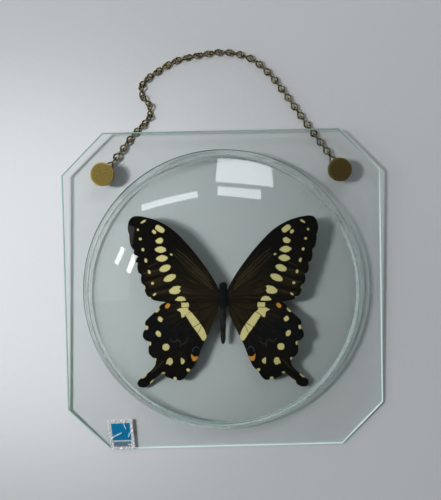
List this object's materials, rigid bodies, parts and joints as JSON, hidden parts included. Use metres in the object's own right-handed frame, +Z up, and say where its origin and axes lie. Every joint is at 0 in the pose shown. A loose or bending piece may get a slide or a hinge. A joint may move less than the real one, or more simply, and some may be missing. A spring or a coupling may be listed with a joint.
{
  "type": "framed butterfly specimen",
  "caption": "Dark swallowtail butterfly with cream spots sealed under a domed glass disc on a clear octagonal glass plate, with brass studs and a hanging chain.",
  "frame": {"origin": "on the table under the middle of the whole part's box, lying as it rests", "axes": "+X to the butterfly's right in the picture, +Y towards the hanging chain, +Z up out of the table"},
  "size_m": [0.17, 0.2144, 0.0292],
  "materials": {
    "clear_glass": "clear float glass, faintly green, ground edges",
    "clear_adhesive": "clear cured adhesive with whitish streaks",
    "body_fur": "short dark insect fur",
    "wing_scales": "matt black-brown wing scales with cream, orange and blue markings",
    "antique_brass": "speckled antique brass",
    "bronze_wire": "antique bronze plated wire",
    "foil": "crinkled silver foil with a plain blue panel"
  },
  "bodies": {
    "root": {"plate_glass": "clear_glass", "dome_glass": "clear_glass", "glue_seam": "clear_adhesive", "butterfly_body": "body_fur", "forewing_left": "wing_scales", "forewing_right": "wing_scales", "hindwing_left": "wing_scales", "hindwing_right": "wing_scales", "stud_cap_left": "antique_brass", "stud_cap_right": "antique_brass", "stud_disc_left": "antique_brass", "stud_disc_right": "antique_brass", "foil_label": "foil", "chain_link_01": "bronze_wire", "chain_link_02": "bronze_wire", "chain_link_03": "bronze_wire", "chain_link_04": "bronze_wire", "chain_link_05": "bronze_wire", "chain_link_06": "bronze_wire", "chain_link_07": "bronze_wire", "chain_link_08": "bronze_wire", "chain_link_09": "bronze_wire", "chain_link_10": "bronze_wire", "chain_link_11": "bronze_wire", "chain_link_12": "bronze_wire", "chain_link_13": "bronze_wire", "chain_link_14": "bronze_wire", "chain_link_15": "bronze_wire", "chain_link_16": "bronze_wire", "chain_link_17": "bronze_wire", "chain_link_18": "bronze_wire", "chain_link_19": "bronze_wire", "chain_link_20": "bronze_wire", "chain_link_21": "bronze_wire", "chain_link_22": "bronze_wire", "chain_link_23": "bronze_wire", "chain_link_24": "bronze_wire", "chain_link_25": "bronze_wire", "chain_link_26": "bronze_wire", "chain_link_27": "bronze_wire", "chain_link_28": "bronze_wire", "chain_link_29": "bronze_wire", "chain_link_30": "bronze_wire", "chain_link_31": "bronze_wire", "chain_link_32": "bronze_wire", "chain_link_33": "bronze_wire", "chain_link_34": "bronze_wire"}
  },
  "joints": []
}
